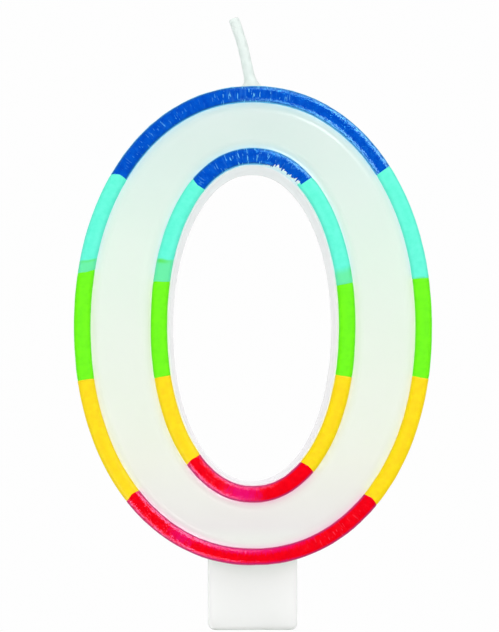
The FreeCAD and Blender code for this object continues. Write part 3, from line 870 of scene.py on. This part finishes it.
def make_braid():
    """The whole cotton wick, plaited along its route."""
    path = braid_path()
    travel = [0.0]
    for before, after in zip(path, path[1:]):
        travel.append(travel[-1] + (after - before).length)

    def radius(i, turn):
        twist = travel[i] / (1.2 * MM)
        plait = math.sin(2 * turn + 4 * twist) * math.sin(2 * turn - 4 * twist)
        return BRAID_RADIUS * (0.93 + 0.07 * plait)

    braid = closed_tube("wick_plait", path, radius, BRAID_SIDES)
    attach(braid, ROOT)
    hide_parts("wick_braid")
    return braid


# ---------------- materials


class Nodes:
    """The nodes of a material or a world, with short names for the kinds it needs."""

    def __init__(self, owner):
        owner.use_nodes = True
        self.owner = owner
        self.nodes, self.links = owner.node_tree.nodes, owner.node_tree.links
        self.shader = self.nodes.get("Principled BSDF")

    def link(self, value, socket):
        """Links or sets a socket, and leaves it alone for None."""
        if isinstance(value, bpy.types.NodeSocket):
            self.links.new(value, socket)
        elif value is not None:
            socket.default_value = value

    def add(self, kind, **inputs):
        """A new node with inputs by name, where an underscore stands for a space."""
        node = self.nodes.new(f"ShaderNode{kind}")
        for name, value in inputs.items():
            self.link(value, node.inputs[name.replace("_", " ")])
        return node

    def set(self, **inputs):
        """Sets inputs of the material's own shader in the same way."""
        for name, value in inputs.items():
            self.link(value, self.shader.inputs[name.replace("_", " ")])

    def place(self, output="Object"):
        return self.add("TexCoord").outputs[output]

    def attribute(self, name, output="Fac"):
        node = self.add("Attribute")
        node.attribute_name = name
        return node.outputs[output]

    def colours(self, value, stops):
        """A ramp through the colours at their places from 0 to 1."""
        node = self.add("ValToRGB", Fac=value)
        elements = node.color_ramp.elements
        while len(elements) < len(stops):
            elements.new(0.5)
        for element, (place, colour) in zip(elements, stops):
            element.position = place
            element.color = (*colour, 1.0)
        return node.outputs["Color"]

    def noise(self, size, detail, place=None, roughness=0.5):
        """Noise from 0 to 1 whose bumps are about the size in metres."""
        place = place or self.place()
        node = self.add("TexNoise", Vector=place, Scale=1 / size, Detail=detail, Roughness=roughness)
        return node.outputs["Fac"]

    def maths(self, operation, first, second):
        node = self.add("Math")
        node.operation = operation
        self.link(first, node.inputs[0])
        self.link(second, node.inputs[1])
        return node.outputs[0]

    def times(self, first, second):
        return self.maths("MULTIPLY", first, second)

    def ramp(self, value, low, high, low_out=0.0, high_out=1.0):
        """Maps a value from one range onto another and stops at its ends."""
        inputs = {"Value": value, "From Min": low, "From Max": high}
        inputs.update({"To Min": low_out, "To Max": high_out})
        return self.add("MapRange", **inputs).outputs["Result"]

    def mix(self, share, first, second):
        """Mixes two colours, each a socket or linear red, green and blue."""
        node = self.add("Mix", Factor=share)
        node.data_type = "RGBA"
        for socket, value in zip((node.inputs[6], node.inputs[7]), (first, second)):
            self.link((*value, 1.0) if isinstance(value, tuple) else value, socket)
        return node.outputs[2]

    def vector(self, x, y):
        return self.add("CombineXYZ", X=x, Y=y).outputs[0]

    def axis(self, name, place):
        return self.add("SeparateXYZ", Vector=place).outputs[name]

    def bump(self, height, distance, strength=1.0, after=None):
        """Bump from a height of 0 to 1 that stands for the distance in metres."""
        inputs = {"Height": height, "Distance": distance, "Strength": strength, "Normal": after}
        return self.add("Bump", **inputs).outputs["Normal"]

    def finish(self, colour, roughness, normal):
        """Links the shader up and gives the material."""
        self.set(Base_Color=colour, Roughness=roughness, Normal=normal)
        return self.owner

    def for_camera(self, seen, others, output):
        """Shows one shader to the camera and another to every other ray."""
        blend = self.add("MixShader", Fac=self.add("LightPath").outputs["Is Camera Ray"])
        self.link(others, blend.inputs[1])
        self.link(seen, blend.inputs[2])
        self.link(blend.outputs[0], self.nodes[output].inputs["Surface"])


# Painted shade on the wax by height above the ring's centre, in millimetres: darker and cooler
# towards the top, lighter and warmer lower down.
WAX_SHADE_BY_HEIGHT = (
    (-36, (244, 254, 244)),
    (-31, (243, 252, 243)),
    (-27, (237, 234, 233)),
    (-18, (240, 243, 232)),
    (0, (233, 250, 232)),
    (20, (223, 239, 232)),
    (32, (215, 230, 227)),
)
WAX_CLOUD = (246, 249, 244)
EVEN = (1.0, 1.0, 1.0)


def wax_material():
    """Satin wax: painted shade by height, clouds, and the painted glow of the paint beside it."""
    make = Nodes(bpy.data.materials.new("white_wax"))
    low, high = WAX_SHADE_BY_HEIGHT[0][0], WAX_SHADE_BY_HEIGHT[-1][0]
    # Painted shade: the wax's colour darkens and cools towards the top.
    height = make.ramp(make.axis("Z", make.place()), CENTRE_Z + low * MM, CENTRE_Z + high * MM)
    shade_tones = [((at - low) / (high - low), to_linear(*tone)) for at, tone in WAX_SHADE_BY_HEIGHT]
    base = make.colours(height, shade_tones)
    cloud = make.ramp(make.noise(12 * MM, 1.0), 0.2, 0.8, 0.0, 0.25)
    base = make.mix(cloud, base, to_linear(*WAX_CLOUD))
    # Painted glow beside the ridges and painted light on the hole's wall.
    base = make.mix(make.attribute("painted_glow_share"), base, make.attribute("glow", "Color"))
    roughness = make.ramp(make.noise(3 * MM, 3.0), 0.3, 0.7, 0.20, 0.27)
    slow = make.bump(make.noise(2.4 * MM, 1.0), 0.012 * MM, 0.6)
    fine = make.bump(make.noise(0.4 * MM, 2.0), 0.002 * MM, 0.5, slow)
    make.set(Subsurface_Weight=1.0, Subsurface_Scale=2.6 * MM, Subsurface_Radius=EVEN)
    make.set(IOR=1.44, Specular_IOR_Level=0.16)
    return make.finish(base, roughness, fine)


# Each paint's "edge" colour is painted shade for its rims, and the glossy paints have a colour for
# painted highlights on their shoulders.
PAINTS = {
    "blue": {
        "base": (4, 88, 208),
        "deep": (0, 72, 194),
        "edge": (20, 82, 146),
        "pale": (112, 206, 255),
        "painted_highlight": (108, 176, 250),
        "tint": (0.08, 0.7, 1.0),
        "feather": 0.85,
    },
    "turquoise": {"base": (104, 250, 221), "deep": (92, 246, 214), "edge": (92, 228, 205)},
    "green": {"base": (116, 252, 6), "deep": (108, 246, 6), "edge": (96, 232, 30)},
    "yellow": {"base": (253, 224, 4), "deep": (252, 214, 4), "edge": (242, 214, 24)},
    "red": {
        "base": (253, 2, 22),
        "deep": (242, 0, 20),
        "edge": (172, 16, 98),
        "pale": (255, 150, 190),
        "painted_highlight": (252, 100, 150),
        "tint": (1.0, 0.25, 0.5),
        "feather": 0.3,
    },
}
MAGENTA = (240, 14, 112)
MIXED_GREEN = (104, 240, 168)
SPUR_GREEN = (92, 232, 92)

class Paint(Nodes):
    """A paint, placed by the millimetres along and across its ridge that each coat stores."""

    def __init__(self, colour):
        super().__init__(bpy.data.materials.new(f"{colour}_paint"))
        self.along, self.across = self.attribute("along"), self.attribute("across")
        self.edge = self.attribute("edge")
        self.flat = self.vector(self.along, self.across)

    def stretched(self, along, across=1.0):
        """The place with its axes scaled, so that noise read there comes in strokes."""
        return self.vector(self.times(self.along, along), self.times(self.across, across))


def paint_material(colour):
    """A paint with painted shade darkening its rim, glossy or satin by its colour."""
    paint = PAINTS[colour]
    make = Paint(colour)
    base, deep, edge = (to_linear(*paint[name]) for name in ("base", "deep", "edge"))
    tone = make.mix(make.ramp(make.noise(0.9, 4.0, make.flat), 0.38, 0.68), base, deep)
    if colour == "turquoise":
        tone = make.mix(make.attribute("lap"), tone, to_linear(*MIXED_GREEN))
        tone = make.mix(make.attribute("spur"), tone, to_linear(*SPUR_GREEN))
    if colour == "red":
        # Magenta in the red: partly the paint's own blotches, partly a painted highlight tint along
        # its shoulders near the bottom.
        strokes = make.noise(1.0, 4.0, make.stretched(4.6))
        blotch = make.maths("ADD", make.times(make.attribute("magenta_and_highlight"), 0.6), strokes)
        tone = make.mix(make.ramp(blotch, 0.72, 1.15, 0.0, 0.95), tone, to_linear(*MAGENTA))
    # Painted shade: the rims are darkened towards the paint's edge colour.
    rim_shade_and_dullness = make.ramp(make.edge, 0.17, 0.32, 0.8 if colour in GLOSSY else 0.25, 0.0)
    tone = make.mix(rim_shade_and_dullness, tone, edge)
    if colour in GLOSSY:
        return glossy_paint(make, paint, tone, rim_shade_and_dullness)
    return satin_paint(make, tone)


def satin_paint(make, tone):
    roughness = make.ramp(make.noise(0.8, 4.0, make.flat), 0.3, 0.7, 0.42, 0.56)
    slow = make.bump(make.noise(1.3, 2.0, make.flat), 0.02 * MM, 0.5)
    fine = make.bump(make.noise(0.3, 3.0, make.flat), 0.005 * MM, 0.5, slow)
    make.set(IOR=1.4, Specular_IOR_Level=0.15)
    return make.finish(tone, roughness, fine)


def glossy_paint(make, paint, tone, rim_shade_and_dullness):
    """Glossy paint that is feathered at its edges, creased across, and streaked along its shoulders
    with painted highlights.
    """
    # The paint thins to a pale feather where it meets the face.
    pale = to_linear(*paint["pale"])
    tone = make.mix(make.ramp(make.edge, 0.05, 0.16, paint["feather"], 0.0), tone, pale)
    # Short pale strokes cross the ridge where the wax creased as it set.
    flecks = make.attribute("flecks")
    stroke = make.ramp(make.noise(1.0, 2.0, make.stretched(3.4, 0.9)), 0.60, 0.65)
    stroke = make.times(stroke, flecks)
    tone = make.mix(make.times(stroke, 0.95), tone, pale)
    faint = make.ramp(make.noise(1.0, 3.0, make.stretched(2.2, 0.35)), 0.5, 0.72, 0.0, 0.1)
    tone = make.mix(make.times(faint, flecks), tone, pale)
    # Painted highlight: ragged pale streaks along both shoulders, in the patches where the lights
    # catch them.
    teeth = make.noise(1.0, 4.0, make.stretched(4.2), 0.7)
    reach = make.maths("ADD", make.edge, make.times(teeth, -1.1))
    inward = make.ramp(reach, -0.06, 0.04, 1.0, 0.0)
    outward = make.ramp(make.edge, 0.13, 0.2)
    specks = make.ramp(make.noise(0.5, 4.0, make.stretched(0.7, 2.4), 0.65), 0.42, 0.54)
    painted_highlight = make.times(make.times(inward, outward), specks)
    painted_highlight = make.times(painted_highlight, make.attribute("painted_highlight"))
    tone = make.mix(painted_highlight, tone, to_linear(*paint["painted_highlight"]))
    # The rim with painted shade is also dull, and the creases are deeper where the coat stores more
    # gloss.
    roughness = make.ramp(make.noise(0.6, 4.0, make.flat), 0.3, 0.7, 0.06, 0.15)
    roughness = make.maths("MAXIMUM", roughness, rim_shade_and_dullness)
    rough = make.ramp(make.attribute("gloss"), 0.0, 1.0, 0.3, 1.0)
    slow = make.bump(make.times(make.noise(0.7, 3.0, make.flat), rough), 0.13 * MM)
    creased = make.bump(stroke, 0.04 * MM, 1.0, slow)
    grain = make.times(make.noise(0.24, 2.0, make.flat), rough)
    fine = make.bump(grain, 0.085 * MM, 1.0, creased)
    make.set(IOR=1.45, Specular_IOR_Level=0.35, Specular_Tint=(*paint["tint"], 1.0))
    return make.finish(tone, roughness, fine)


def wick_material():
    make = Nodes(bpy.data.materials.new("wick_wax"))
    base = make.mix(make.noise(0.9 * MM, 3.0), to_linear(223, 234, 229), to_linear(234, 242, 238))
    roughness = make.ramp(make.noise(0.5 * MM, 3.0), 0.3, 0.7, 0.45, 0.6)
    normal = make.bump(make.noise(0.3 * MM, 3.0), 0.02 * MM, 0.6)
    make.set(Subsurface_Weight=0.2, Subsurface_Scale=0.4 * MM, Subsurface_Radius=EVEN)
    make.set(IOR=1.44, Specular_IOR_Level=0.15)
    return make.finish(base, roughness, normal)


def cotton_material():
    make = Nodes(bpy.data.materials.new("wick_cotton"))
    base = make.mix(make.noise(0.3 * MM, 4.0), to_linear(214, 216, 205), to_linear(236, 236, 228))
    roughness = make.ramp(make.noise(0.2 * MM, 3.0), 0.3, 0.7, 0.7, 0.9)
    normal = make.bump(make.noise(0.12 * MM, 4.0), 0.03 * MM, 0.8)
    return make.finish(base, roughness, normal)


# ---------------- stage, light and camera

# The tent goes from dark to bright between two values of a direction's Y, at these strengths.
TENT = (-0.45, 0.05, 0.01, 1.15)
BACKDROP = (0.99, 0.99, 0.99, 1.0)
FLOOR_HALF = 6.0
SOFTBOXES = {
    "softbox_upper_right": (0.42, -0.62, 0.66),
    "softbox_lower_left": (-0.42, -0.62, -0.66),
}
# The camera aims at this place from the ring's centre, and sees this width there.
CAMERA_AIM = (-0.42 * MM, 0, 1.39 * MM)
CAMERA_AZIMUTH, CAMERA_ELEVATION = math.radians(-0.9), math.radians(-3.0)
CAMERA_DISTANCE = 0.6
CAMERA_WIDTH = 85.33 * MM
SENSOR_WIDTH = 36


def area_light(name, direction, distance, size, power, glossy=True):
    """A square softbox in a direction from the ring's centre, facing it."""
    light = bpy.data.lights.new(name, "AREA")
    light.shape = "RECTANGLE"
    light.size, light.size_y = size
    light.energy = power
    item = bpy.data.objects.new(name, light)
    centre = Vector((0, 0, CENTRE_Z))
    item.location = centre + Vector(direction).normalized() * distance
    item.rotation_euler = (centre - item.location).to_track_quat("-Z", "Y").to_euler()
    item.visible_glossy = glossy
    item.visible_camera = False
    bpy.context.scene.collection.objects.link(item)
    return item


def make_floor():
    """A white floor that the camera sees as bright as the backdrop."""
    signs = ((-1, -1), (1, -1), (1, 1), (-1, 1))
    points = [(x * FLOOR_HALF, y * FLOOR_HALF, 0) for x, y in signs]
    floor = mesh_object("floor", points, [(0, 1, 2, 3)])
    make = Nodes(bpy.data.materials.new("floor_white"))
    tone = make.mix(make.noise(0.05, 2.0), (0.84, 0.84, 0.84), (0.86, 0.86, 0.86))
    make.set(Base_Color=tone, Roughness=0.9, IOR=1.01)
    glow = make.add("Emission", Color=BACKDROP)
    make.for_camera(glow.outputs[0], make.shader.outputs[0], "Material Output")
    floor.data.materials.append(make.owner)
    floor.visible_shadow = False
    floor.visible_glossy = False


def make_world():
    """A white backdrop for the camera, and for the rest a light tent.

    The tent is bright behind and beside the candle and dark in front of it.
    """
    make = Nodes(bpy.data.worlds.new("studio"))
    seen = make.nodes["Background"]
    seen.inputs["Color"].default_value = BACKDROP
    seen.inputs["Strength"].default_value = 1.0
    behind = make.axis("Y", make.place("Generated"))
    tent = make.add("Background", Strength=make.ramp(behind, *TENT))
    make.for_camera(seen.outputs[0], tent.outputs[0], "World Output")
    bpy.context.scene.world = make.owner
    bpy.context.scene.view_settings.view_transform = "Standard"


def make_lights():
    for name, direction in SOFTBOXES.items():
        box = area_light(name, direction, distance=0.6, size=(0.34, 0.28), power=7.0)
        box.visible_diffuse = False
        box.visible_transmission = False
    front = (0.0, -1.0, 0.45)
    area_light("front_fill", front, distance=1.2, size=(2.4, 2.4), power=26.6, glossy=False)


def make_camera():
    camera = bpy.data.cameras.new("camera")
    item = bpy.data.objects.new("camera", camera)
    aim = Vector(CAMERA_AIM) + Vector((0, 0, CENTRE_Z))
    away_x = math.sin(CAMERA_AZIMUTH) * math.cos(CAMERA_ELEVATION)
    away_y = -math.cos(CAMERA_AZIMUTH) * math.cos(CAMERA_ELEVATION)
    item.location = aim + Vector((away_x, away_y, math.sin(CAMERA_ELEVATION))) * CAMERA_DISTANCE
    item.rotation_euler = (aim - item.location).to_track_quat("-Z", "Y").to_euler()
    camera.sensor_width = SENSOR_WIDTH
    camera.lens = SENSOR_WIDTH * CAMERA_DISTANCE / CAMERA_WIDTH
    camera.clip_start, camera.clip_end = 0.01, 50
    bpy.context.scene.collection.objects.link(item)
    bpy.context.scene.camera = item


# ---------------- the candle

make_camera()
casting = make_casting()
casting.data.materials.append(wax_material())
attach(casting, ROOT)
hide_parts("numeral_body")

paint = {colour: paint_material(colour) for colour in PAINTS}
for ridge in RIDGES:
    for colour, side in COATS:
        make_coat(ridge, colour, side).data.materials.append(paint[colour])

make_skin().data.materials.append(wick_material())
make_braid().data.materials.append(cotton_material())
make_floor()
make_world()
make_lights()
